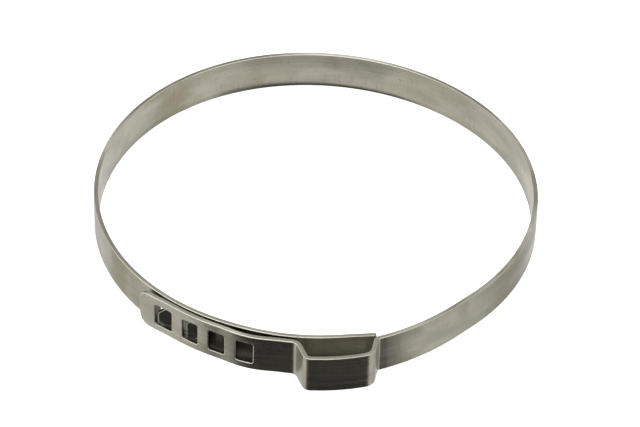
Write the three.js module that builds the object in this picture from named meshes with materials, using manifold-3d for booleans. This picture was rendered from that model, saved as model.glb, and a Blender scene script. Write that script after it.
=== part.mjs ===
import * as THREE from 'three';
import { mergeVertices } from 'three/addons/utils/BufferGeometryUtils.js';
import Module from 'manifold-3d';

const wasm = await Module();
wasm.setup();

// A latched ear clamp: one steel strip that runs from the free end of its windowed tongue,
// over the pinch ear, down a ramp and once round the ring, then under the tongue again,
// where two hooks lanced from it stand in the windows. The strip's rigid zones are separate
// solids, parted at the lines where it bends.
//
// Lengths are in millimetres and angles in degrees, counted round the ring's centre from +X
// towards +Y. The ring stands on its lower edge at z = 0, with the ear at -Y.

// The strip, and the ring its middle line makes
const STRIP_WIDTH = 7;
const STRIP_THICKNESS = 0.8;
const RING_RADIUS = 37.8;
const RING_CENTRE_Y = 2.6;
const RING_LOBE = 0.22; // how far the ring is out of round, in three lobes
const BEND_GAP = 0.1; // between the zones either side of a bend

// Under the tongue the band keeps its smallest radius, and towards its tail it comes out again.
const UNDER_TONGUE_START = 180;
const TAIL_RISE_START = 240;
const TAIL_RISE_END = 262;
const TAIL_RISE = 0.27;

// The tongue lies over the band, from its flared free end to the ear's left foot. It stands a
// little further out towards the foot, and bows outwards at its last window.
const TONGUE_RADIUS = 38.85;
const TONGUE_END = -142.7;
const TONGUE_FLARE_START = -133;
const TONGUE_FLARE = 0.65;
const TONGUE_SLOPE = 0.0152; // per degree
const TONGUE_SLOPE_MIDDLE = -122.5;
const TONGUE_BOW = 0.38;
const TONGUE_BOW_MIDDLE = -111.5;
const TONGUE_BOW_REACH = 8;
const TONGUE_ROOT = -101.8;
const TONGUE_CORNERS = { top: 1.8, bottom: 2.1 };

const WINDOW_ANGLES = [-134.9, -126.8, -119.4, -112.1];
const WINDOW_LENGTHS = [3.5, 3, 3, 3];
const WINDOW_BOTTOM = 1.25;
const WINDOW_TOP = 5.5;
const WINDOW_CORNER = 0.4;

// The corners of the ear's middle line, across the ear and out from the ring's centre
const EAR_LEFT_FOOT = { across: -6.4, out: 38.7, radius: 1.6 };
const EAR_LEFT_SHOULDER = { across: -5.3, out: 42.75, radius: 1.1 };
const EAR_CROWN_PEAK = { across: 0.1, out: 43.42, radius: 29 };
const EAR_RIGHT_SHOULDER = { across: 5.65, out: 42.4, radius: 1.9 };
const EAR_RIGHT_FOOT = { across: 6.7, out: 38.75, radius: 0.9 };

// Right of the ear the band climbs off the ring, so that the tail can slide in below it.
const RAMP_TOP = -78;
const RAMP_BOTTOM = -53;
const RAMP_RISE = 1.4;
const RAMP_CURVE = 1.2; // 1 climbs evenly, more leaves the ring more gently

// Where the ring's zones part, then the tail that bridges the gap under the ear
const BAND_BENDS = [0, 60, 120, 180];
const LATCH_BEND = 208;
const TAIL_BEND = 268;
const TAIL_STRAIGHT_FROM = 270;
const TAIL_STRAIGHT = 6.75;

// The hooks: the first carries the band's pull, the second keeps the tongue in line.
const TENSION_HOOK = {
  root: -132.9, length: 3.05, lean: 33, bendRadius: 1.2,
  bottom: 1.6, top: 5.15, taper: 0.9, taperLength: 1.1,
};
const RETAINING_HOOK = {
  root: -124.9, length: 2.6, lean: 29, bendRadius: 1.2,
  bottom: 1.6, top: 5.15, taper: 0.3, taperLength: 0.35,
};
const LANCE_MARGIN = 0.25; // the slot a hook was cut from is this much wider on each side
const LANCE_EXTRA = 0.9; // and this much longer than the bent hook covers

// How finely curves are stepped, in degrees and in steps, and how far cutters reach
const SWEEP_STEP = 2;
const BEND_STEPS = 8;
const CORNER_STEPS = 5;
const CUTTER_REACH = 3;
const WASTE_MARGIN = 1;

const STEEL_COLOUR = 0x9c9a92;
const STEEL = { metalness: 0.9, roughness: 0.35 };

// Angles, points and runs of the strip's middle line

const { degToRad: radians, smoothstep } = THREE.MathUtils;

function onRing(radius, angle) {
  const turn = radians(angle);
  return new THREE.Vector2(radius * Math.cos(turn), radius * Math.sin(turn) + RING_CENTRE_Y);
}

function onEar({ across, out }) {
  return new THREE.Vector2(across, RING_CENTRE_Y - out);
}

// A run is a list of stations, each with its place and the heading of the strip there.
function station(place, heading) {
  return { place, heading: heading.clone().normalize() };
}

function sweep(radiusAt, from, to) {
  const steps = Math.max(1, Math.round(Math.abs(to - from) / SWEEP_STEP));
  const nudge = (to - from) * 1e-4;
  const run = [];
  for (let step = 0; step <= steps; step += 1) {
    const angle = from + (to - from) * step / steps;
    const place = onRing(radiusAt(angle), angle);
    const ahead = onRing(radiusAt(angle + nudge), angle + nudge);
    run.push(station(place, ahead.sub(place)));
  }
  return run;
}

// The arc that rounds the corner between two straight lines, in two halves
function bend(before, corner, after) {
  const middle = onEar(corner);
  const inward = middle.clone().sub(before).normalize();
  const onward = after.clone().sub(middle).normalize();
  const turn = Math.atan2(inward.cross(onward), inward.dot(onward));
  const side = Math.sign(turn);
  const start = middle.clone().addScaledVector(inward, -corner.radius * Math.tan(Math.abs(turn) / 2));
  const normal = new THREE.Vector2(-inward.y, inward.x).multiplyScalar(side);
  const centre = start.clone().addScaledVector(normal, corner.radius);
  const run = [];
  for (let step = 0; step <= BEND_STEPS; step += 1) {
    const swing = turn * step / BEND_STEPS;
    const place = start.clone().rotateAround(centre, swing);
    run.push(station(place, inward.clone().rotateAround(new THREE.Vector2(), swing)));
  }
  const half = BEND_STEPS / 2;
  const hollow = run[half].place.clone().lerp(centre, STRIP_THICKNESS / 2 / corner.radius);
  return { entry: run.slice(0, half + 1), exit: run.slice(half), hollow };
}

// Solids

function offset({ place, heading }, distance) {
  return new THREE.Vector2(place.x - heading.y * distance, place.y + heading.x * distance);
}

function trimmed(run, startGap, endGap) {
  const cut = run.map(({ place, heading }) => ({ place: place.clone(), heading }));
  cut[0].place.addScaledVector(cut[0].heading, startGap);
  cut[cut.length - 1].place.addScaledVector(cut[cut.length - 1].heading, -endGap);
  return cut;
}

function stripShape(run) {
  const half = STRIP_THICKNESS / 2;
  const left = run.map((stop) => offset(stop, half));
  const right = run.map((stop) => offset(stop, -half));
  return new THREE.Shape([...right, ...left.reverse()]);
}

function extrude(shape, depth) {
  return new THREE.ExtrudeGeometry(shape, { depth, bevelEnabled: false, curveSegments: CORNER_STEPS });
}

function stripGeometry(run, startGap = BEND_GAP / 2, endGap = BEND_GAP / 2) {
  return extrude(stripShape(trimmed(run, startGap, endGap)), STRIP_WIDTH);
}

function solidOf(geometry) {
  const bare = new THREE.BufferGeometry();
  bare.setAttribute('position', geometry.getAttribute('position').clone());
  if (geometry.index) bare.setIndex(geometry.index.clone());
  const merged = mergeVertices(bare, 1e-4);
  const vertProperties = new Float32Array(merged.getAttribute('position').array);
  const triVerts = new Uint32Array(merged.index.array);
  return new wasm.Manifold(new wasm.Mesh({ numProp: 3, vertProperties, triVerts }));
}

function geometryOf(solid) {
  const { numProp, vertProperties, triVerts } = solid.getMesh();
  const geometry = new THREE.BufferGeometry();
  geometry.setAttribute('position', new THREE.BufferAttribute(vertProperties, numProp));
  geometry.setIndex(new THREE.BufferAttribute(triVerts, 1));
  geometry.computeVertexNormals();
  return geometry;
}

// A prism through the strip: its shape is drawn with x along the ring and y up from the lower
// edge, and it reaches inwards and outwards from the given radius.
function throughStrip(shape, angle, radius) {
  const prism = extrude(shape, 2 * CUTTER_REACH);
  const turn = radians(angle);
  const along = new THREE.Vector3(-Math.sin(turn), Math.cos(turn), 0);
  const up = new THREE.Vector3(0, 0, 1);
  const outward = new THREE.Vector3(Math.cos(turn), Math.sin(turn), 0);
  const start = onRing(radius - CUTTER_REACH, angle);
  const frame = new THREE.Matrix4().makeBasis(along, up, outward).setPosition(start.x, start.y, 0);
  return prism.applyMatrix4(frame);
}

function roundedWindow(from, to, bottom, top, corner) {
  const shape = new THREE.Shape();
  shape.absarc(to - corner, top - corner, corner, 0, Math.PI / 2);
  shape.absarc(from + corner, top - corner, corner, Math.PI / 2, Math.PI);
  shape.absarc(from + corner, bottom + corner, corner, Math.PI, Math.PI * 1.5);
  shape.absarc(to - corner, bottom + corner, corner, Math.PI * 1.5, Math.PI * 2);
  return shape;
}

// What is left of the free end's square corner outside the quarter circle that rounds it
function cornerWaste(radius, atTop) {
  const edge = atTop ? STRIP_WIDTH + WASTE_MARGIN : -WASTE_MARGIN;
  const centre = atTop ? STRIP_WIDTH - radius : radius;
  const arcEnd = atTop ? Math.PI / 2 : Math.PI * 1.5;
  const shape = new THREE.Shape();
  shape.moveTo(-WASTE_MARGIN, edge);
  shape.lineTo(-WASTE_MARGIN, centre);
  shape.lineTo(0, centre);
  shape.absarc(radius, centre, radius, Math.PI, arcEnd, atTop);
  shape.lineTo(radius, edge);
  return shape;
}

// The strip's middle line, zone by zone

function tongueRadius(angle) {
  const flare = TONGUE_FLARE * (1 - smoothstep(angle, TONGUE_END, TONGUE_FLARE_START));
  const slope = TONGUE_SLOPE * (angle - TONGUE_SLOPE_MIDDLE);
  const fromBow = Math.min(1, Math.abs(angle - TONGUE_BOW_MIDDLE) / TONGUE_BOW_REACH);
  return TONGUE_RADIUS + flare + slope + TONGUE_BOW * (1 - fromBow ** 2) ** 2;
}

function bandRadius(angle) {
  const lobe = RING_LOBE * Math.cos(3 * radians(Math.min(angle, UNDER_TONGUE_START)));
  if (angle < RAMP_BOTTOM) {
    const climbed = (RAMP_BOTTOM - angle) / (RAMP_BOTTOM - RAMP_TOP);
    return RING_RADIUS + lobe * (1 - climbed) + RAMP_RISE * climbed ** RAMP_CURVE;
  }
  return RING_RADIUS + lobe + TAIL_RISE * smoothstep(angle, TAIL_RISE_START, TAIL_RISE_END);
}

const underTongueRadius = bandRadius(UNDER_TONGUE_START);

const corners = [
  EAR_LEFT_FOOT, EAR_LEFT_SHOULDER, EAR_CROWN_PEAK, EAR_RIGHT_SHOULDER, EAR_RIGHT_FOOT,
];
const earPath = [
  onRing(tongueRadius(TONGUE_ROOT), TONGUE_ROOT),
  ...corners.map(onEar),
  onRing(bandRadius(RAMP_TOP), RAMP_TOP),
];
const [leftFoot, leftShoulder, crownPeak, rightShoulder, rightFoot] = corners.map(
  (corner, index) => bend(earPath[index], corner, earPath[index + 2]),
);

// The zones either side of a bend share its station, so their runs meet there.
const tongueRun = sweep(tongueRadius, TONGUE_END, TONGUE_ROOT);
const footRun = sweep(bandRadius, RAMP_TOP, RAMP_TOP + SWEEP_STEP);
const rampRun = sweep(bandRadius, RAMP_TOP + SWEEP_STEP, RAMP_BOTTOM);
const bandRuns = [RAMP_BOTTOM, ...BAND_BENDS].map(
  (from, index) => sweep(bandRadius, from, BAND_BENDS[index] ?? LATCH_BEND),
);
const underTongueRun = sweep(bandRadius, LATCH_BEND, TAIL_BEND);
const tailRun = sweep(bandRadius, TAIL_BEND, TAIL_STRAIGHT_FROM);
const tailCorner = tailRun[tailRun.length - 1];
const tailEnd = tailCorner.place.clone().addScaledVector(tailCorner.heading, TAIL_STRAIGHT);
tailRun.push(station(tailEnd, tailCorner.heading));

const STRIP_ZONES = {
  ear_left_foot: [...tongueRun.slice(-1), ...leftFoot.entry],
  ear_left_leg: [...leftFoot.exit, ...leftShoulder.entry],
  ear_crown: [
    ...leftShoulder.exit, ...crownPeak.entry, ...crownPeak.exit.slice(1), ...rightShoulder.entry,
  ],
  ear_right_leg: [...rightShoulder.exit, ...rightFoot.entry],
  ear_right_foot: [...rightFoot.exit, ...footRun],
  tail_ramp: rampRun,
  band_front_right: bandRuns[0],
  band_right: bandRuns[1],
  band_back: bandRuns[2],
  band_left: bandRuns[3],
  band_front_left: bandRuns[4],
  ear_bridge_tail: tailRun,
};

// The tongue: its free end is rounded, and its four windows go right through.
function tongueGeometry() {
  let tongue = solidOf(stripGeometry(tongueRun, 0));
  WINDOW_ANGLES.forEach((angle, index) => {
    const half = WINDOW_LENGTHS[index] / 2;
    const shape = roundedWindow(-half, half, WINDOW_BOTTOM, WINDOW_TOP, WINDOW_CORNER);
    tongue = tongue.subtract(solidOf(throughStrip(shape, angle, TONGUE_RADIUS)));
  });
  const topWaste = cornerWaste(TONGUE_CORNERS.top, true);
  const bottomWaste = cornerWaste(TONGUE_CORNERS.bottom, false);
  tongue = tongue.subtract(solidOf(throughStrip(topWaste, TONGUE_END, TONGUE_RADIUS)));
  tongue = tongue.subtract(solidOf(throughStrip(bottomWaste, TONGUE_END, TONGUE_RADIUS)));
  return geometryOf(tongue);
}

// A hook is a tab of the strip, still joined at its root and bent outwards towards the free end
// of the tongue.
function hookRun({ root, length, lean, bendRadius }) {
  const outward = onRing(1, root).sub(onRing(0, root));
  const start = onRing(underTongueRadius, root);
  const heading = new THREE.Vector2(outward.y, -outward.x);
  const centre = start.clone().addScaledVector(outward, bendRadius);
  const run = [];
  for (let step = 0; step <= BEND_STEPS; step += 1) {
    const swing = radians(lean) * step / BEND_STEPS;
    const along = heading.clone().rotateAround(new THREE.Vector2(), swing);
    run.push(station(start.clone().rotateAround(centre, swing), along));
  }
  const last = run[run.length - 1];
  const straight = length - bendRadius * radians(lean);
  run.push(station(last.place.clone().addScaledVector(last.heading, straight), last.heading));
  return run;
}

function hookReach(hook) {
  const run = hookRun(hook);
  const tip = run[run.length - 1].place.clone().sub(run[0].place);
  return tip.dot(run[0].heading);
}

function hookGeometry(hook) {
  const { bottom, top, taper, taperLength } = hook;
  const tab = extrude(stripShape(trimmed(hookRun(hook), BEND_GAP, 0)), top - bottom);
  tab.translate(0, 0, bottom);
  const shoulder = taperLength - hookReach(hook);
  const pastTip = -hookReach(hook) - STRIP_THICKNESS;
  const narrowing = (shoulder - pastTip) * taper / taperLength;
  const face = new THREE.Shape([
    new THREE.Vector2(CUTTER_REACH, bottom),
    new THREE.Vector2(CUTTER_REACH, top),
    new THREE.Vector2(shoulder, top),
    new THREE.Vector2(pastTip, top - narrowing),
    new THREE.Vector2(pastTip, bottom + narrowing),
    new THREE.Vector2(shoulder, bottom),
  ]);
  const outline = throughStrip(face, hook.root, underTongueRadius);
  return geometryOf(solidOf(tab).intersect(solidOf(outline)));
}

function underTongueGeometry() {
  let strip = solidOf(stripGeometry(underTongueRun));
  for (const hook of [TENSION_HOOK, RETAINING_HOOK]) {
    const far = -hookReach(hook) - LANCE_EXTRA;
    const low = hook.bottom - LANCE_MARGIN;
    const high = hook.top + LANCE_MARGIN;
    const slot = roundedWindow(far, 0, low, high, LANCE_MARGIN);
    strip = strip.subtract(solidOf(throughStrip(slot, hook.root, underTongueRadius)));
  }
  return geometryOf(strip);
}

// The clamp

const clamp = new THREE.Group();

function addPiece(name, geometry) {
  const material = new THREE.MeshStandardMaterial({ color: STEEL_COLOUR, ...STEEL });
  const mesh = new THREE.Mesh(geometry, material);
  mesh.name = name;
  clamp.add(mesh);
}

addPiece('window_tongue', tongueGeometry());
addPiece('under_tongue_strip', underTongueGeometry());
addPiece('tension_hook', hookGeometry(TENSION_HOOK));
addPiece('retaining_hook', hookGeometry(RETAINING_HOOK));
for (const [name, run] of Object.entries(STRIP_ZONES)) {
  const lastGap = name === 'ear_bridge_tail' ? 0 : BEND_GAP / 2;
  addPiece(name, stripGeometry(run, BEND_GAP / 2, lastGap));
}

// Where the strip's hinge lines stand: crimped bends turn on the hollow side of the strip.
const tongueHinge = tongueRun[tongueRun.length - 1];
const bendStops = [...bandRuns, underTongueRun, tailRun].map((run) => run[0]).slice(1);
clamp.userData.hinges = {
  ear_feet_and_shoulders: [rightFoot, rightShoulder, leftShoulder, leftFoot].map(({ hollow }) => hollow),
  tongue_root: offset(tongueHinge, -STRIP_THICKNESS / 2),
  band_bends: bendStops.map((stop) => offset(stop, 0)),
};

export default clamp;
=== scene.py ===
import math
from types import SimpleNamespace

import bpy
import numpy as np
from mathutils import Matrix, Vector
from mathutils.geometry import delaunay_2d_cdt


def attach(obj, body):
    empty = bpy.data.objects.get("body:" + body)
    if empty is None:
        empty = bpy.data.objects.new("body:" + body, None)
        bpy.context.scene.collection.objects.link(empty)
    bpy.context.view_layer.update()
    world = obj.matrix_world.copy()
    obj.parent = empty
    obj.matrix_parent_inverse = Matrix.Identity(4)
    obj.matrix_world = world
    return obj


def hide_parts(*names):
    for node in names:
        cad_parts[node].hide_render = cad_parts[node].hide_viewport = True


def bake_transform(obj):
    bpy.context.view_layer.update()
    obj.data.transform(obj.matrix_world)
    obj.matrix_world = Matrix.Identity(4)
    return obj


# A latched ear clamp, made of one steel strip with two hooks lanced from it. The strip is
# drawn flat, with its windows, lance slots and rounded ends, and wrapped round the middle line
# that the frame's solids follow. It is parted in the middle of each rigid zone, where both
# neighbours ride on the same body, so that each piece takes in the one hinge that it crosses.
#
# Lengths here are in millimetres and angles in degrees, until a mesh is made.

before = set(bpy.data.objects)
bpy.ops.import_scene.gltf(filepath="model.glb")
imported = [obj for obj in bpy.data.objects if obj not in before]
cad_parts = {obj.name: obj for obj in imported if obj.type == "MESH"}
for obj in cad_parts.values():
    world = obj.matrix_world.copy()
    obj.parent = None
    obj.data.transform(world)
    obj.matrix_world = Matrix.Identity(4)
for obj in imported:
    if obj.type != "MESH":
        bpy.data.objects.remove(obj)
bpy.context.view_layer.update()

MM = 0.001

# The strip, and the ring its middle line makes
STRIP_WIDTH = 7
STRIP_THICKNESS = 0.8
RING_RADIUS = 37.8
RING_CENTRE_Y = 2.6
RING_LOBE, LOBES = 0.22, 3
UNDER_TONGUE_START = 180
TAIL_RISE_START, TAIL_RISE_END, TAIL_RISE = 240, 262, 0.27

# The tongue, its rounded free end and its windows
TONGUE_RADIUS = 38.85
TONGUE_END, TONGUE_FLARE_START, TONGUE_ROOT = -142.7, -133, -101.8
TONGUE_FLARE = 0.65
TONGUE_SLOPE, TONGUE_SLOPE_MIDDLE = 0.0152, -122.5
TONGUE_BOW, TONGUE_BOW_MIDDLE, TONGUE_BOW_REACH = 0.38, -111.5, 8
TONGUE_TOP_CORNER, TONGUE_BOTTOM_CORNER = 1.8, 2.1
WINDOW_ANGLES = [-134.9, -126.8, -119.4, -112.1]
WINDOW_LENGTHS = [3.5, 3, 3, 3]
WINDOW_BOTTOM, WINDOW_TOP, WINDOW_CORNER = 1.25, 5.5, 0.4

# The corners of the ear's middle line: across the ear, out from the ring's centre, and radius
EAR_CORNERS = {
    "left_foot": (-6.4, 38.7, 1.6),
    "left_shoulder": (-5.3, 42.75, 1.1),
    "crown_peak": (0.1, 43.42, 29),
    "right_shoulder": (5.65, 42.4, 1.9),
    "right_foot": (6.7, 38.75, 0.9),
}

# The ramp right of the ear, the places where the ring flexes, and the tail under the ear
RAMP_TOP, RAMP_BOTTOM, RAMP_RISE, RAMP_CURVE = -78, -53, 1.4, 1.2
BAND_BENDS = {"front_flex": 0, "right_flex": 60, "left_flex": 120, "side_flex": 180}
LATCH_BEND, TAIL_BEND, TAIL_STRAIGHT_FROM = 208, 268, 270
TAIL_STRAIGHT, TAIL_CORNER = 6.75, 0.4

# The hooks, and the slots that they were lanced from
TENSION_HOOK = dict(root=-132.9, length=3.05, lean=33, taper=0.9, taper_length=1.1)
RETAINING_HOOK = dict(root=-124.9, length=2.6, lean=29, taper=0.3, taper_length=0.35)
HOOK_BOTTOM, HOOK_TOP, HOOK_BEND_RADIUS = 1.6, 5.15, 1.2
HOOK_START = 0.05
ROOT_CORNER, SHOULDER_CORNER, TIP_CORNER = 0.15, 0.4, 0.3
LANCE_MARGIN, LANCE_EXTRA = 0.25, 0.9

# How finely the surface is drawn
RING_STEP = 0.75
LINE_STEP = 0.5
BEND_STEP = 5
SLOPE_STEP = 0.01
CORNER_STEPS, CORNER_STEP = 8, 12
ROWS = 9
EDGE_RADIUS = 0.14
EDGE_STEPS = 4
SMALLEST_GAP = 0.12
SEAM_GAP = 0.05
SAME_PLACE = 1e-6

# How far a piece's bend is spread either side of its hinge, and the bends that are sharper
LONGEST_BLEND, BLEND_SHARE = 16, 0.9
SHORT_BLENDS = {"tongue_root": 1.2, "tail": 1.2, **dict.fromkeys(EAR_CORNERS, 1.5)}


# --- The middle line ---------------------------------------------------------------------------

def on_ring(radius, angle):
    turn = math.radians(angle)
    return Vector((radius * math.cos(turn), radius * math.sin(turn) + RING_CENTRE_Y))


def on_ear(corner):
    across, out, _ = EAR_CORNERS[corner]
    return Vector((across, RING_CENTRE_Y - out))


def smoothstep(value, low, high):
    share = min(1, max(0, (value - low) / (high - low)))
    return share * share * (3 - 2 * share)


def tongue_radius(angle):
    flare = TONGUE_FLARE * (1 - smoothstep(angle, TONGUE_END, TONGUE_FLARE_START))
    slope = TONGUE_SLOPE * (angle - TONGUE_SLOPE_MIDDLE)
    from_bow = min(1, abs(angle - TONGUE_BOW_MIDDLE) / TONGUE_BOW_REACH)
    return TONGUE_RADIUS + flare + slope + TONGUE_BOW * (1 - from_bow ** 2) ** 2


def band_radius(angle):
    lobe = RING_LOBE * math.cos(LOBES * math.radians(min(angle, UNDER_TONGUE_START)))
    if angle < RAMP_BOTTOM:
        climbed = (RAMP_BOTTOM - angle) / (RAMP_BOTTOM - RAMP_TOP)
        return RING_RADIUS + lobe * (1 - climbed) + RAMP_RISE * climbed ** RAMP_CURVE
    return RING_RADIUS + lobe + TAIL_RISE * smoothstep(angle, TAIL_RISE_START, TAIL_RISE_END)


UNDER_TONGUE_RADIUS = band_radius(UNDER_TONGUE_START)


class Line:
    """A middle line drawn point by point. It places flat drawings in the round."""

    def __init__(self, outward_side=1):
        self.places, self.headings, self.marks = [], [], {}
        self.outward_side = outward_side

    def add(self, place, heading):
        turn = math.atan2(heading.y, heading.x)
        if self.places:
            if (place - self.places[-1]).length < SAME_PLACE:
                return
            last = self.headings[-1]
            turn = last + (turn - last + math.pi) % (2 * math.pi) - math.pi
        self.places.append(place.copy())
        self.headings.append(turn)

    def mark(self, name):
        self.marks[name] = len(self.places) - 1

    def sweep(self, radius_at, start, end):
        steps = max(1, round(abs(end - start) / RING_STEP))
        for step in range(steps + 1):
            angle = start + (end - start) * step / steps
            back, ahead = angle - SLOPE_STEP, angle + SLOPE_STEP
            before, after = on_ring(radius_at(back), back), on_ring(radius_at(ahead), ahead)
            self.add(on_ring(radius_at(angle), angle), after - before)

    def straight(self, end):
        start = self.places[-1].copy()
        steps = max(1, math.ceil((end - start).length / LINE_STEP))
        for step in range(1, steps + 1):
            self.add(start.lerp(end, step / steps), end - start)

    def corner(self, name, before, after):
        """The rounded corner of the ear between two straight lines, marked at its middle."""
        radius = EAR_CORNERS[name][2]
        middle = on_ear(name)
        inward, onward = (middle - before).normalized(), (after - middle).normalized()
        turn = math.atan2(inward.x * onward.y - inward.y * onward.x, inward.dot(onward))
        self.straight(middle - inward * radius * math.tan(abs(turn) / 2))
        self.arc(radius, turn, name)

    def arc(self, radius, turn, middle_mark=None):
        start, heading = self.places[-1].copy(), self.headings[-1]
        side = math.copysign(1, turn)
        centre = start + Vector((-math.sin(heading), math.cos(heading))) * radius * side
        half = max(2, math.ceil(math.degrees(abs(turn)) / BEND_STEP / 2))
        for step in range(1, 2 * half + 1):
            swing = turn * step / (2 * half)
            place = centre + Matrix.Rotation(swing, 2) @ (start - centre)
            along = heading + swing
            self.add(place, Vector((math.cos(along), math.sin(along))))
            if step == half and middle_mark:
                self.mark(middle_mark)

    def finish(self):
        self.places = np.array([tuple(place) for place in self.places])
        self.headings = np.array(self.headings)
        gaps = np.linalg.norm(np.diff(self.places, axis=0), axis=1)
        self.lengths = np.concatenate([[0], np.cumsum(gaps)])
        self.marks = {name: self.lengths[index] for name, index in self.marks.items()}
        return self

    def frames(self, along):
        """Place, heading and outward direction of the line at these distances along it."""
        inside = np.clip(along, 0, self.lengths[-1])
        turn = np.interp(inside, self.lengths, self.headings)
        heading = np.stack([np.cos(turn), np.sin(turn), np.zeros_like(turn)], axis=1)
        outward = np.stack([np.sin(turn), -np.cos(turn), np.zeros_like(turn)], axis=1)
        place = np.stack(
            [np.interp(inside, self.lengths, self.places[:, axis]) for axis in (0, 1)]
            + [np.zeros_like(turn)],
            axis=1,
        )
        place += heading * (along - inside)[:, None]
        return place, heading, outward * self.outward_side

    def nearest(self, point):
        """The distance along the line of its point nearest to this one."""
        return self.lengths[np.argmin(np.linalg.norm(self.places - np.array(point), axis=1))]


def strip_line():
    line = Line()
    line.sweep(tongue_radius, TONGUE_END, TONGUE_ROOT)
    line.mark("tongue_root")
    names = list(EAR_CORNERS)
    path = [on_ring(tongue_radius(TONGUE_ROOT), TONGUE_ROOT), *map(on_ear, names),
            on_ring(band_radius(RAMP_TOP), RAMP_TOP)]
    for index, name in enumerate(names):
        line.corner(name, path[index], path[index + 2])
    line.straight(path[-1])
    angle = RAMP_TOP
    for name, bend in {**BAND_BENDS, "latch": LATCH_BEND, "tail": TAIL_BEND}.items():
        line.sweep(band_radius, angle, bend)
        line.mark(name)
        angle = bend
    line.sweep(band_radius, TAIL_BEND, TAIL_STRAIGHT_FROM)
    heading = line.headings[-1]
    end = line.places[-1] + Vector((math.cos(heading), math.sin(heading))) * TAIL_STRAIGHT
    line.straight(end)
    return line.finish()


def hook_line(hook):
    line = Line(outward_side=-1)
    outward = on_ring(1, hook["root"]) - on_ring(0, hook["root"])
    line.add(on_ring(UNDER_TONGUE_RADIUS, hook["root"]), Vector((outward.y, -outward.x)))
    lean = math.radians(hook["lean"])
    line.arc(HOOK_BEND_RADIUS, lean)
    heading = line.headings[-1]
    rest = hook["length"] - HOOK_BEND_RADIUS * lean
    line.straight(line.places[-1] + Vector((math.cos(heading), math.sin(heading))) * rest)
    return line.finish()


# --- Flat drawings -----------------------------------------------------------------------------
# A border is a list of points (along, up) with the sheet on its left. Open borders stop at a
# seam, where the next piece goes on.

def arc_points(centre, radius, start, end, steps=CORNER_STEPS):
    turns = np.radians(np.linspace(start, end, steps + 1))
    return [(centre[0] + radius * math.cos(t), centre[1] + radius * math.sin(t)) for t in turns]


def rounded_polygon(corners, radii):
    """The border of a convex sheet, its corners rounded by these radii."""
    points = []
    for index, corner in enumerate(corners):
        here = Vector(corner)
        back = (Vector(corners[index - 1]) - here).normalized()
        ahead = (Vector(corners[(index + 1) % len(corners)]) - here).normalized()
        half = back.angle(ahead) / 2
        centre = here + (back + ahead).normalized() * radii[index] / math.sin(half)
        first = here + back * radii[index] / math.tan(half) - centre
        swing = math.pi - 2 * half
        steps = max(2, math.ceil(math.degrees(swing) / CORNER_STEP))
        for step in range(steps + 1):
            points.append(tuple(centre + Matrix.Rotation(swing * step / steps, 2) @ first))
    return points


def divided(points, closed):
    """The same border with points no more than a line step apart."""
    ends = points + points[:1] if closed else points
    finer = []
    for start, end in zip(ends, ends[1:]):
        gap = math.dist(start, end)
        steps = max(1, math.ceil(gap / LINE_STEP - SAME_PLACE))
        for step in range(steps):
            share = step / steps
            finer.append(tuple(a + (b - a) * share for a, b in zip(start, end)))
    return finer if closed else finer + [ends[-1]]


def inward_normals(points, closed):
    """For each border point, the step that moves it 1 mm into the sheet."""
    places = np.array(points)
    ahead = np.roll(places, -1, axis=0) - places
    ahead /= np.linalg.norm(ahead, axis=1)[:, None]
    left_of_next = np.stack([-ahead[:, 1], ahead[:, 0]], axis=1)
    left_of_last = np.roll(left_of_next, 1, axis=0)
    if not closed:
        left_of_next[-1] = left_of_last[-1]
        left_of_last[0] = left_of_next[0]
    mean = left_of_next + left_of_last
    return mean / (1 + (left_of_next * left_of_last).sum(axis=1))[:, None]


def inside(points, border):
    """Which points lie inside a closed border."""
    x, y = points[:, 0][:, None], points[:, 1][:, None]
    start, end = border, np.roll(border, -1, axis=0)
    crosses = (start[:, 1] > y) != (end[:, 1] > y)
    rise = np.where(end[:, 1] == start[:, 1], 1, end[:, 1] - start[:, 1])
    reach = start[:, 0] + (y - start[:, 1]) * (end[:, 0] - start[:, 0]) / rise
    return ((crosses & (x < reach)).sum(axis=1) % 2) == 1


def within(points, rings):
    """Which points lie inside the first ring and outside the others."""
    kept = inside(points, rings[0])
    for ring in rings[1:]:
        kept &= ~inside(points, ring)
    return kept


def gap_to(points, border):
    """Each point's distance from the nearest side of a closed border."""
    start, side = border, np.roll(border, -1, axis=0) - border
    reach = points[:, None, :] - start[None]
    share = ((reach * side).sum(axis=2) / np.maximum((side ** 2).sum(axis=1), 1e-12)).clip(0, 1)
    return np.linalg.norm(reach - side * share[:, :, None], axis=2).min(axis=1)


# The section of a rounded edge: depth into the sheet, height out of its middle, and turn
EDGE_PROFILE = [
    (
        EDGE_RADIUS * (1 - math.sin(turn)),
        STRIP_THICKNESS / 2 - EDGE_RADIUS * (1 - math.cos(turn)),
        turn,
    )
    for turn in np.radians(np.linspace(0, 90, EDGE_STEPS + 1))
]


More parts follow.
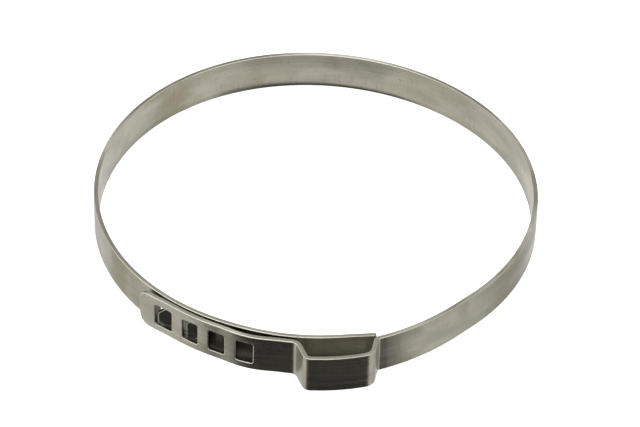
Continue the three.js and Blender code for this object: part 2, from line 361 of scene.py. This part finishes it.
class Sheet:
    """A flat cut-out with rounded edges: points (along, up, out), normals and faces."""

    def __init__(self, borders, columns):
        """borders are (points, closed). columns are the distances along that get grid points."""
        self.points, self.normals, self.rims, self.faces = [], [], [], []
        loops = [self.edge(points, closed) for points, closed in borders]
        self.face_grids(borders, loops, columns)

    def edge(self, points, closed):
        """The rounded edge along one border. Returns its first and last rows, on the two faces."""
        inward = inward_normals(points, closed)
        rows = []
        profile = EDGE_PROFILE + [(d, -out, math.pi - t) for d, out, t in reversed(EDGE_PROFILE)]
        for depth, out, turn in profile:
            first = len(self.points)
            for place, step in zip(points, inward):
                self.points.append((place[0] + step[0] * depth, place[1] + step[1] * depth, out))
                aside = -step / np.linalg.norm(step) * math.sin(turn)
                self.normals.append((aside[0], aside[1], math.cos(turn)))
                self.rims.append(math.sin(turn))
            rows.append(list(range(first, len(self.points))))
        for upper, lower in zip(rows, rows[1:]):
            count = len(upper) if closed else len(upper) - 1
            for index in range(count):
                after = (index + 1) % len(upper)
                self.faces.append((upper[index], lower[index], lower[after], upper[after]))
        return rows[0], rows[-1]

    def face_grids(self, borders, loops, columns):
        for side, sign in ((0, 1), (1, -1)):
            closed = [loop[side] for loop, (_, whole) in zip(loops, borders) if whole]
            open_rows = [loop[side] for loop, (_, whole) in zip(loops, borders) if not whole]
            outline = [index for row in open_rows for index in row]
            rings = ([outline] if outline else []) + closed
            self.fill(rings, columns, sign)

    def fill(self, rings, columns, sign):
        """The triangles of one face, inside the first ring of edge points and round the others."""
        flat = [np.array([self.points[index][:2] for index in ring]) for ring in rings]
        first = len(self.points)
        for along, up in self.grid_points(flat, columns):
            self.points.append((along, up, sign * STRIP_THICKNESS / 2))
            self.normals.append((0, 0, sign))
            self.rims.append(0)
        known = [index for ring in rings for index in ring] + list(range(first, len(self.points)))
        corners, sources, triangles = self.triangulated(known, rings)
        names = [known[source[0]] for source in sources]
        for triangle in triangles[within(corners[triangles].mean(axis=1), flat)]:
            a, b, c = corners[triangle]
            turn = (b[0] - a[0]) * (c[1] - a[1]) - (b[1] - a[1]) * (c[0] - a[0])
            order = triangle if turn * sign > 0 else triangle[::-1]
            self.faces.append(tuple(names[index] for index in order))

    def grid_points(self, flat, columns):
        low, high = flat[0][:, 1].min(), flat[0][:, 1].max()
        rows = np.linspace(low, high, ROWS)
        grid = np.array([(along, up) for along in columns for up in rows])
        keep = within(grid, flat)
        for ring in flat:
            keep &= gap_to(grid, ring) > SMALLEST_GAP
        return [*grid[keep], *self.seam_points(flat[0], columns, rows)]

    def triangulated(self, known, rings):
        """Corners, the known points they came from, and triangles that keep to the rings."""
        sides, start = [], 0
        for ring in rings:
            sides += [(start + i, start + (i + 1) % len(ring)) for i in range(len(ring))]
            start += len(ring)
        places = [Vector(self.points[index][:2]) for index in known]
        result = delaunay_2d_cdt(places, sides, [], 0, 1e-7, True)
        corners = np.array([tuple(place) for place in result[0]])
        return corners, result[3], np.array(result[2])

    @staticmethod
    def seam_points(outline, columns, rows):
        """Grid points along the straight ends where a piece meets the next one."""
        ends = []
        for along in (columns[0], columns[-1]):
            on_seam = np.abs(outline[:, 0] - along) < SAME_PLACE
            if on_seam.sum() == 2:
                ends += [(along, up) for up in rows[1:-1]]
        return ends


def mesh_from(name, sheet, line):
    """A Blender object of the flat sheet, wrapped round its line."""
    flat, normals = np.array(sheet.points), np.array(sheet.normals)
    place, heading, outward = line.frames(flat[:, 0])
    place = place + outward * flat[:, 2:3]
    place[:, 2] = flat[:, 1]
    turned = heading * normals[:, 0:1] + outward * normals[:, 2:3]
    turned[:, 2] = normals[:, 1]
    faces = sheet.faces if line.outward_side > 0 else [face[::-1] for face in sheet.faces]
    mesh = bpy.data.meshes.new(name)
    mesh.from_pydata((place * MM).tolist(), [], faces)
    mesh.polygons.foreach_set("use_smooth", [True] * len(faces))
    drawn = mesh.attributes.new("drawn_at", "FLOAT_VECTOR", "POINT")
    drawn.data.foreach_set("vector", flat.astype(np.float32).ravel())
    rim = mesh.attributes.new("rim", "FLOAT", "POINT")
    rim.data.foreach_set("value", np.array(sheet.rims, np.float32))
    add_strip_map(mesh, flat)
    mesh.update()
    mesh.normals_split_custom_set_from_vertices(turned.tolist())
    piece = bpy.data.objects.new(name, mesh)
    bpy.context.scene.collection.objects.link(piece)
    return piece


def add_strip_map(mesh, flat):
    """A UV map laid out in the flat strip's own metres."""
    corners = np.empty(len(mesh.loops), int)
    mesh.loops.foreach_get("vertex_index", corners)
    across = flat[:, 1] + flat[:, 2]
    uv = np.stack([flat[corners, 0], across[corners]], axis=1) * MM
    mesh.uv_layers.new(name="strip").data.foreach_set("uv", uv.astype(np.float32).ravel())


# --- The strip's pieces ------------------------------------------------------------------------

def window_border(middle, length, bottom, top, radius):
    """A hole's border, with the sheet on its left."""
    low, high = middle - length / 2, middle + length / 2
    points = (
        arc_points((high - radius, top - radius), radius, 0, 90)
        + arc_points((low + radius, top - radius), radius, 90, 180)
        + arc_points((low + radius, bottom + radius), radius, 180, 270)
        + arc_points((high - radius, bottom + radius), radius, 270, 360)
    )
    return divided(points[::-1], True), True


def long_edges(columns):
    lower = [(along, 0) for along in columns]
    upper = [(along, STRIP_WIDTH) for along in reversed(columns)]
    return lower, upper


def free_end_border(columns, top_radius, bottom_radius):
    """The border of a piece that starts at its free end and stops at a seam."""
    straight_from = max(top_radius, bottom_radius)
    lower, upper = long_edges([along for along in columns if along > straight_from])
    end = (
        arc_points((top_radius, STRIP_WIDTH - top_radius), top_radius, 90, 180)
        + arc_points((bottom_radius, bottom_radius), bottom_radius, 180, 270)
    )
    return divided(upper + end + lower, False), False


def last_end_border(columns, radius):
    """The border of a piece that starts at a seam and stops at its free end."""
    stop = columns[-1]
    lower, upper = long_edges([along for along in columns if along < stop - radius])
    end = (
        arc_points((stop - radius, radius), radius, 270, 360)
        + arc_points((stop - radius, STRIP_WIDTH - radius), radius, 0, 90)
    )
    return divided(lower + end + upper, False), False


def windows(line):
    for angle, length in zip(WINDOW_ANGLES, WINDOW_LENGTHS):
        middle = line.nearest(on_ring(tongue_radius(angle), angle))
        yield window_border(middle, length, WINDOW_BOTTOM, WINDOW_TOP, WINDOW_CORNER)


def lance_slots(line):
    for hook in (TENSION_HOOK, RETAINING_HOOK):
        tab = hook_line(hook)
        reach = (tab.places[-1] - tab.places[0]) @ np.array(
            [math.cos(tab.headings[0]), math.sin(tab.headings[0])]
        )
        root = line.nearest(on_ring(UNDER_TONGUE_RADIUS, hook["root"]))
        length = reach + LANCE_EXTRA
        bottom, top = HOOK_BOTTOM - LANCE_MARGIN, HOOK_TOP + LANCE_MARGIN
        yield window_border(root - length / 2, length, bottom, top, LANCE_MARGIN)


# name, the mark it bends at, the bodies either side, the nodes it stands for
STRIP_PIECES = [
    ("tongue", "tongue_root", "window_tongue", "ear_left_foot", ["window_tongue"]),
    ("left_foot", "left_foot", "ear_left_foot", "ear_left_leg", ["ear_left_foot"]),
    ("left_shoulder", "left_shoulder", "ear_left_leg", "ear_crown", ["ear_left_leg", "ear_crown"]),
    ("right_shoulder", "right_shoulder", "ear_crown", "ear_right_leg", ["ear_crown"]),
    ("right_foot", "right_foot", "ear_right_leg", "band_front",
     ["ear_right_leg", "ear_right_foot", "tail_ramp"]),
    ("front_right", "front_flex", "band_front", "band_right", ["band_front_right"]),
    ("back_right", "right_flex", "band_right", "band_back", ["band_right"]),
    ("back_left", "left_flex", "band_back", "band_left", ["band_back"]),
    ("side_left", "side_flex", "band_left", "band_front_left", ["band_left"]),
    ("latch", "latch", "band_front_left", "under_tongue",
     ["band_front_left", "under_tongue_strip"]),
    ("tail", "tail", "under_tongue", "ear_bridge_tail", ["ear_bridge_tail"]),
]


def piece_columns(line, start, stop):
    inner = [along for along in line.lengths if start + SEAM_GAP < along < stop - SEAM_GAP]
    return [start, *inner, stop]


def seam_positions(line):
    bends = [line.marks[mark] for _, mark, *_ in STRIP_PIECES]
    middles = [(a + b) / 2 for a, b in zip(bends, bends[1:])]
    return [0, *middles, line.lengths[-1]]


def blend_ends(line, mark, start, stop):
    """Where the piece starts and stops turning round its hinge."""
    middle = line.marks[mark]
    reach = min(LONGEST_BLEND, middle - start, stop - middle) * BLEND_SHARE
    reach = min(reach, SHORT_BLENDS.get(mark, reach))
    places, _, _ = line.frames(np.array([middle - reach, middle + reach]))
    height = STRIP_WIDTH / 2
    return [Vector((place[0], place[1], height)) * MM for place in places]


def piece_borders(name, line, columns):
    if name == "tongue":
        return [free_end_border(columns, TONGUE_TOP_CORNER, TONGUE_BOTTOM_CORNER), *windows(line)]
    if name == "tail":
        return [last_end_border(columns, TAIL_CORNER)]
    borders = [(edge, False) for edge in long_edges(columns)]
    return borders + list(lance_slots(line)) if name == "latch" else borders


def make_strip(line, steel):
    seams = seam_positions(line)
    for index, (name, mark, before, after, nodes) in enumerate(STRIP_PIECES):
        start, stop = seams[index], seams[index + 1]
        columns = piece_columns(line, start, stop)
        piece = mesh_from(f"strip_{name}", Sheet(piece_borders(name, line, columns), columns), line)
        piece.data.materials.append(steel)
        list(blend_ends(line, mark, start, stop))
        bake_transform(piece)
        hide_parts(*nodes)


def hook_border(hook, end):
    """The border of a hook's tab, narrowed towards its tip."""
    taper, shoulder = hook["taper"], end - hook["taper_length"]
    corners = [
        (HOOK_START, HOOK_BOTTOM), (shoulder, HOOK_BOTTOM), (end, HOOK_BOTTOM + taper),
        (end, HOOK_TOP - taper), (shoulder, HOOK_TOP), (HOOK_START, HOOK_TOP),
    ]
    radii = [ROOT_CORNER, SHOULDER_CORNER, TIP_CORNER]
    return divided(rounded_polygon(corners, radii + radii[::-1]), True)


def make_hook(name, hook, steel):
    line = hook_line(hook)
    border = hook_border(hook, line.lengths[-1])
    piece = mesh_from(f"lanced_{name}", Sheet([(border, True)], list(line.lengths)), line)
    piece.data.materials.append(steel)
    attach(piece, "under_tongue")
    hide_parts(name)


# --- Steel -------------------------------------------------------------------------------------
# The patterns are laid out in the flat strip's own millimetres: along, up and out.

STEEL = (0.42, 0.4, 0.335, 1)
# The hooks' steel is a darker copy of the strip's steel: painted shade.
SHADED_HOOK_STEEL = (0.28, 0.27, 0.23, 1)
BRIGHT_LINES = (0.62, 0.6, 0.54, 1)
# Near-white colour on the rounded edges: partly polish, partly painted highlight.
ARRIS_POLISH_AND_HIGHLIGHT = (0.95, 0.9, 0.78, 1)
CUT_FACE = (0.175, 0.168, 0.14, 1)
# Near-black painted shade for the walls of the windows and lance slots.
WINDOW_WALL_SHADE = (0.035, 0.033, 0.027, 1)
SHORN_BRIGHT = (0.62, 0.6, 0.53, 1)
YELLOWED_AND_SHADE = (0.26, 0.235, 0.145, 1)
DULLED_AND_SHADE = (0.09, 0.086, 0.07, 1)

# Where the strip is painted darker and yellower: angle on the ring, reach along, strength. The
# outer patch at -35 degrees is painted shade.
OUTER_DARK_PATCHES = [(204, 4.5, 0.75), (-35, 8, 0.4), (213, 3, 0.3)]
INNER_DARK_PATCHES = [(127, 6.5, 0.6), (55, 7, 0.35), (98, 5, 0.25), (40, 6, 0.2)]

# Other zones: angle on the ring, and reach along
BRIGHT_CUT = (76, 15)
# Zones where the rounded edges are painted brighter still: partly polish, partly painted highlight.
ARRIS_HIGHLIGHT_ZONE = (232, 30)
TONGUE_ARRIS_HIGHLIGHT = (12, 30)  # distance along, and reach along
TONGUE_SHADE_INSET = 4.5       # degrees from the tongue's free end to the part under it that gets painted shade
TONGUE_SHADE_FADE = 1.5
WALL_SHADE_FADE = (2.4, 2.9)    # distance from the strip's middle at which the painted shade on a window's walls ends

BUMP_STRENGTH, BUMP_DISTANCE = 0.16, 0.00004

# Noises on the flat strip: how often they vary each millimetre along, up and out, and detail
NOISES = {
    "fine_lines": ((0.05, 11, 11), 3),
    "broad_lines": ((0.035, 2.4, 2.4), 3),
    "clouds": ((0.11, 0.3, 0.3), 4),
    "blotches": ((0.16, 0.22, 0.22), 2),
    "grain": ((5, 6, 6), 2),
    "handling": ((2.6, 0.3, 0.3), 3),
    "scratches": ((0.4, 7, 7), 1),
    "specks": ((1.7, 2.1, 2.1), 3),
    "shearing": ((0.06, 0.1, 0.1), 3),
}


class Shading:
    """Adds nodes to one material. Inputs are values or other nodes' output sockets."""

    def __init__(self, material):
        material.use_nodes = True
        self.tree = material.node_tree
        self.shader = self.tree.nodes["Principled BSDF"]

    def feed(self, socket, value):
        if isinstance(value, bpy.types.NodeSocket):
            self.tree.links.new(value, socket)
        else:
            socket.default_value = value

    def node(self, kind, inputs, **settings):
        made = self.tree.nodes.new(f"ShaderNode{kind}")
        for name, value in settings.items():
            setattr(made, name, value)
        for name, value in inputs.items():
            self.feed(made.inputs[name], value)
        return made

    def attribute(self, name):
        return self.node("Attribute", {}, attribute_name=name)

    def noise(self, vector, stretch, detail):
        mapped = self.node("Mapping", {"Vector": vector, "Scale": stretch})
        made = self.node("TexNoise", {"Vector": mapped.outputs[0], "Scale": 1, "Detail": detail})
        return made.outputs["Fac"]

    def sum(self, *values):
        total = values[0]
        for value in values[1:]:
            total = self.math("ADD", total, value)
        return total

    def product(self, *values):
        total = values[0]
        for value in values[1:]:
            total = self.math("MULTIPLY", total, value)
        return total

    def away(self, value, middle):
        return self.math("ABSOLUTE", self.math("SUBTRACT", value, middle), 0)

    def math(self, operation, first, second):
        return self.node("Math", {0: first, 1: second}, operation=operation).outputs[0]

    def ranged(self, value, low, high, to_low=0, to_high=1):
        """The value carried smoothly from one range to another, and held at its ends."""
        inputs = {"Value": value, "From Min": low, "From Max": high,
                  "To Min": to_low, "To Max": to_high}
        return self.node("MapRange", inputs, interpolation_type="SMOOTHSTEP").outputs[0]

    def mixed(self, share, first, second):
        made = self.node("Mix", {0: share, 6: first, 7: second}, data_type="RGBA")
        return made.outputs[2]

    def patch(self, along, middle, reach, strength):
        """A soft-edged zone of the strip: full at its middle, nothing at its reach."""
        return self.ranged(self.away(along, middle), reach * 0.25, reach, strength, 0)


def place_on_strip(shading):
    """Where a point of the steel lies on the flat strip, and the value of each noise there."""
    drawn = shading.attribute("drawn_at").outputs["Vector"]
    along, up, out = shading.node("SeparateXYZ", {0: drawn}).outputs
    rim = shading.attribute("rim").outputs["Fac"]
    outside = shading.math("GREATER_THAN", out, 0)
    noises = {name: shading.noise(drawn, *noise) for name, noise in NOISES.items()}
    return SimpleNamespace(
        along=along, up=up, outside=outside, inside=shading.math("SUBTRACT", 1, outside),
        on_cut_face=shading.ranged(rim, 0.8, 1), on_arris=shading.ranged(rim, 0.1, 0.5), **noises,
    )


def rolled_colour(shading, at, colour):
    """The steel as it left the rolls."""
    clouded = shading.ranged(at.clouds, 0.3, 0.7, 0, 0.22)
    lined = shading.ranged(at.broad_lines, 0.4, 0.75, 0, 0.25)
    blotched = shading.ranged(at.blotches, 0.52, 0.74, 0, 0.35)
    for share, tint in ((clouded, DULLED_AND_SHADE), (lined, BRIGHT_LINES), (blotched, YELLOWED_AND_SHADE)):
        colour = shading.mixed(share, colour, tint)
    return colour


def patched_and_shaded_colour(shading, at, colour, zones):
    """Darker, yellower patches on either face, and painted shade on the part of the outer face that
    the tongue covers.
    """
    ragged = shading.ranged(at.clouds, 0.25, 0.6, 0.6, 1)
    # Darker, yellower patches; the outer one at -35 degrees is painted shade.
    for outer, middle, reach, strength in zones.stains:
        patch = shading.patch(at.along, middle, reach, strength)
        share = shading.product(patch, at.outside if outer else at.inside, ragged)
        colour = shading.mixed(share, colour, YELLOWED_AND_SHADE)
    # Painted shade: the outer face under the tongue is mixed towards the dull colour.
    start, stop = zones.covered
    into = shading.ranged(at.along, start - TONGUE_SHADE_FADE, start, 0, 0.8)
    left = shading.ranged(at.along, stop, stop + TONGUE_SHADE_FADE, 1, 0)
    return shading.mixed(shading.product(into, left, at.outside), colour, DULLED_AND_SHADE)


def worn_colour(shading, at, colour, scratches):
    specks = shading.ranged(at.specks, 0.68, 0.76)
    handled = shading.ranged(at.handling, 0.55, 0.8, 0, 0.3)
    for share in (shading.product(scratches, 0.35), shading.product(specks, 0.3), handled):
        colour = shading.mixed(share, colour, DULLED_AND_SHADE)
    return colour


def arris_polish_and_highlight(shading, at, zones):
    """How much of the arris's bright colour shows: partly polish, partly painted highlight."""
    rubbed = shading.ranged(at.clouds, 0.3, 0.6, 0.1, 0.4)
    for middle, reach in zones.rubbed if zones else ():
        rubbed = shading.sum(rubbed, shading.patch(at.along, middle, reach, 0.8))
    return shading.product(at.on_arris, shading.math("MINIMUM", rubbed, 1))


def cut_face_colour(shading, at, zones):
    """Dark sheared metal with bright stretches, with painted shade on the windows' walls."""
    shorn = shading.ranged(at.shearing, 0.45, 0.75, 0, 0.5)
    if not zones:
        return shading.mixed(shorn, CUT_FACE, SHORN_BRIGHT)
    shorn = shading.sum(shorn, shading.patch(at.along, *zones.bright_cut, 0.7))
    wall_shade = shading.ranged(shading.away(at.up, STRIP_WIDTH / 2), *WALL_SHADE_FADE, 0.85, 0)
    return shading.mixed(wall_shade, shading.mixed(shorn, CUT_FACE, SHORN_BRIGHT), WINDOW_WALL_SHADE)


def roughness(shading, at, scratches):
    return shading.sum(
        shading.ranged(at.clouds, 0.3, 0.7, 0.27, 0.38),
        shading.ranged(at.broad_lines, 0.3, 0.7, -0.05, 0.05),
        shading.product(at.on_cut_face, 0.1),
        shading.product(scratches, 0.12),
    )


def relief(shading, at, scratches):
    height = shading.sum(
        at.fine_lines,
        shading.product(at.broad_lines, 1.2),
        shading.product(at.grain, 0.15),
        shading.product(scratches, -0.6),
    )
    inputs = {"Height": height, "Strength": BUMP_STRENGTH, "Distance": BUMP_DISTANCE}
    return shading.node("Bump", inputs).outputs[0]


def brushed_steel(name, colour, zones=None):
    """Rolled steel. zones says where along the strip it's marked; the hooks have none."""
    material = bpy.data.materials.new(name)
    shading = Shading(material)
    at = place_on_strip(shading)
    scratches = shading.ranged(at.scratches, 0.67, 0.74)
    colour = rolled_colour(shading, at, colour)
    if zones:
        colour = patched_and_shaded_colour(shading, at, colour, zones)
    colour = worn_colour(shading, at, colour, scratches)
    colour = shading.mixed(arris_polish_and_highlight(shading, at, zones), colour, ARRIS_POLISH_AND_HIGHLIGHT)
    cut = shading.product(at.on_cut_face, shading.ranged(at.grain, 0.2, 0.6, 0.8, 1))
    colour = shading.mixed(cut, colour, cut_face_colour(shading, at, zones))
    inputs = shading.shader.inputs
    inputs["Metallic"].default_value = 1
    shading.feed(inputs["Base Color"], colour)
    shading.feed(inputs["Roughness"], roughness(shading, at, scratches))
    shading.feed(inputs["Normal"], relief(shading, at, scratches))
    return material


def along_strip(line, angle):
    """The distance along the strip of a place on the ring."""
    return line.nearest(on_ring(band_radius(angle), angle))


def strip_zones(line):
    """The marked zones of the strip, their angles on the ring turned into distances along."""
    stains = [
        (outer, along_strip(line, angle), reach, strength)
        for outer, listed in ((True, OUTER_DARK_PATCHES), (False, INNER_DARK_PATCHES))
        for angle, reach, strength in listed
    ]
    covered = [
        line.marks["latch"] + math.radians(angle + 360 - LATCH_BEND) * UNDER_TONGUE_RADIUS
        for angle in (TONGUE_END + TONGUE_SHADE_INSET, TONGUE_ROOT)
    ]
    bright_cut, rubbed = (
        (along_strip(line, angle), reach) for angle, reach in (BRIGHT_CUT, ARRIS_HIGHLIGHT_ZONE)
    )
    return SimpleNamespace(
        stains=stains, covered=covered, bright_cut=bright_cut, rubbed=[rubbed, TONGUE_ARRIS_HIGHLIGHT],
    )


# --- Studio ------------------------------------------------------------------------------------

CAMERA_ELEVATION, CAMERA_AZIMUTH, CAMERA_ROLL = 40.29, -6.3, -1.57
CAMERA_RIGHT, CAMERA_DOWN, CAMERA_DISTANCE = 0.95, 1.657, 638.7
CAMERA_LENS, CAMERA_SENSOR, CAMERA_CLIP = 208.16, 36, 0.01


def camera_axes():
    """The camera's right, up and ahead directions."""
    elevation, azimuth, roll = map(
        math.radians, (CAMERA_ELEVATION, CAMERA_AZIMUTH, CAMERA_ROLL))
    level_right = Vector((math.cos(azimuth), math.sin(azimuth), 0))
    level_ahead = Vector((-math.sin(azimuth), math.cos(azimuth), 0))
    up_axis = Vector((0, 0, 1))
    ahead = level_ahead * math.cos(elevation) - up_axis * math.sin(elevation)
    level_up = level_ahead * math.sin(elevation) + up_axis * math.cos(elevation)
    right = level_right * math.cos(roll) - level_up * math.sin(roll)
    up = level_right * math.sin(roll) + level_up * math.cos(roll)
    return right, up, ahead


def make_camera():
    right, up, ahead = camera_axes()
    ring_middle = Vector((0, RING_CENTRE_Y, STRIP_WIDTH / 2))
    place = ring_middle + right * CAMERA_RIGHT - up * CAMERA_DOWN - ahead * CAMERA_DISTANCE
    data = bpy.data.cameras.new("camera")
    data.lens = CAMERA_LENS
    data.sensor_width = CAMERA_SENSOR
    data.clip_start = CAMERA_CLIP
    camera = bpy.data.objects.new("camera", data)
    turn = Matrix((right, up, -ahead)).transposed().to_4x4()
    camera.matrix_world = Matrix.Translation(place * MM) @ turn
    bpy.context.scene.collection.objects.link(camera)
    bpy.context.scene.camera = camera


# The softbox's place and side, in metres, and its power
SOFTBOX_PLACE, SOFTBOX_SIDE, SOFTBOX_POWER = (0, 0.1, 0.6), 0.6, 3


def make_softbox():
    data = bpy.data.lights.new("top_softbox", "AREA")
    data.shape = "RECTANGLE"
    data.size = data.size_y = SOFTBOX_SIDE
    data.energy = SOFTBOX_POWER
    light = bpy.data.objects.new("top_softbox", data)
    light.location = SOFTBOX_PLACE
    light.rotation_euler = (-Vector(SOFTBOX_PLACE)).to_track_quat("-Z", "Y").to_euler()
    bpy.context.scene.collection.objects.link(light)


def flat_sheet(name, corners):
    """A plain flat sheet of the studio, which isn't part of the object."""
    mesh = bpy.data.meshes.new(name)
    mesh.from_pydata([Vector(corner) * MM for corner in corners], [], [range(len(corners))])
    sheet = bpy.data.objects.new(name, mesh)
    bpy.context.scene.collection.objects.link(sheet)
    material = bpy.data.materials.new(name)
    material.use_nodes = True
    shader = material.node_tree.nodes["Principled BSDF"]
    shader.inputs["Roughness"].default_value = 0.9
    shader.inputs["Specular IOR Level"].default_value = 0
    mesh.materials.append(material)
    return sheet, shader


def square(half, height):
    return [(-half, -half, height), (half, -half, height), (half, half, height),
            (-half, half, height)]


def round_card(radius, height):
    turns = np.radians(np.arange(0, 360, 5))
    return [(radius * math.cos(t), radius * math.sin(t) + RING_CENTRE_Y, height) for t in turns]


def wedge(start, stop, height):
    """The part of a level plane that lies between these directions from the ring's centre."""
    rim = [Vector((math.cos(t), math.sin(t), 0)) * WEDGE_REACH
           for t in np.radians(np.linspace(start, stop, 6))]
    centre = Vector((0, RING_CENTRE_Y, height))
    return [centre, *(centre + point for point in rim)]


def reflected_card(name, brightness, corners):
    """A glowing card that only the steel's reflections see."""
    card, shader = flat_sheet(name, corners)
    shader.inputs["Base Color"].default_value = (0, 0, 0, 1)
    shader.inputs["Emission Color"].default_value = (1, 1, 0.98, 1)
    shader.inputs["Emission Strength"].default_value = brightness
    card.visible_camera = False
    card.visible_diffuse = False
    card.visible_shadow = False
    card.visible_transmission = False


# The steel reflects a level plane far below, with darker wedges: directions, brightness.
# It also reflects a lit floor inside the ring, with a shaded patch near its back.
REFLECTED_DEPTH = -400
WEDGE_REACH = 3000
REFLECTED_WEDGES = [(-149, -42, 0.055), (-8, 45, 0.74), (128, 166, 0.87)]
LIT_FLOOR_RADIUS, LIT_FLOOR_HEIGHT = 36.5, 0.05
INNER_SHADE = [(-6, 27, 0.1), (12, 27, 0.1), (12, 33.2, 0.1), (-6, 33.8, 0.1)]
INNER_SHADE_BRIGHTNESS = 0.45

FLOOR_HALF_SIDE = 1500
FLOOR_COLOUR, FLOOR_GLOW = (0.88, 0.88, 0.87, 1), 0.6
WORLD_BRIGHTNESS = 0.75


def make_reflected_room():
    reflected_card("room_below", 1, square(WEDGE_REACH, REFLECTED_DEPTH))
    for index, (start, stop, brightness) in enumerate(REFLECTED_WEDGES):
        reflected_card(f"wedge_{index}", brightness, wedge(start, stop, REFLECTED_DEPTH + 1))
    reflected_card("floor_inside_ring", 1, round_card(LIT_FLOOR_RADIUS, LIT_FLOOR_HEIGHT))
    reflected_card("inner_shade", INNER_SHADE_BRIGHTNESS, INNER_SHADE)


def make_floor():
    floor, shader = flat_sheet("floor", square(FLOOR_HALF_SIDE, 0))
    shader.inputs["Base Color"].default_value = FLOOR_COLOUR
    shader.inputs["Emission Color"].default_value = (1, 1, 1, 1)
    shader.inputs["Emission Strength"].default_value = FLOOR_GLOW
    floor.visible_glossy = False


def make_world():
    world = bpy.data.worlds.new("studio")
    bpy.context.scene.world = world
    world.use_nodes = True
    background = world.node_tree.nodes["Background"]
    background.inputs["Color"].default_value = (1, 1, 1, 1)
    background.inputs["Strength"].default_value = WORLD_BRIGHTNESS
    bpy.context.scene.view_settings.view_transform = "Standard"


make_camera()
make_floor()
make_reflected_room()
make_world()
make_softbox()
strip = strip_line()
make_strip(strip, brushed_steel("strip_steel", STEEL, strip_zones(strip)))
# The hooks get the darker steel, which is painted shade.
shaded_hook_steel = brushed_steel("shaded_hook_steel", SHADED_HOOK_STEEL)
make_hook("tension_hook", TENSION_HOOK, shaded_hook_steel)
make_hook("retaining_hook", RETAINING_HOOK, shaded_hook_steel)
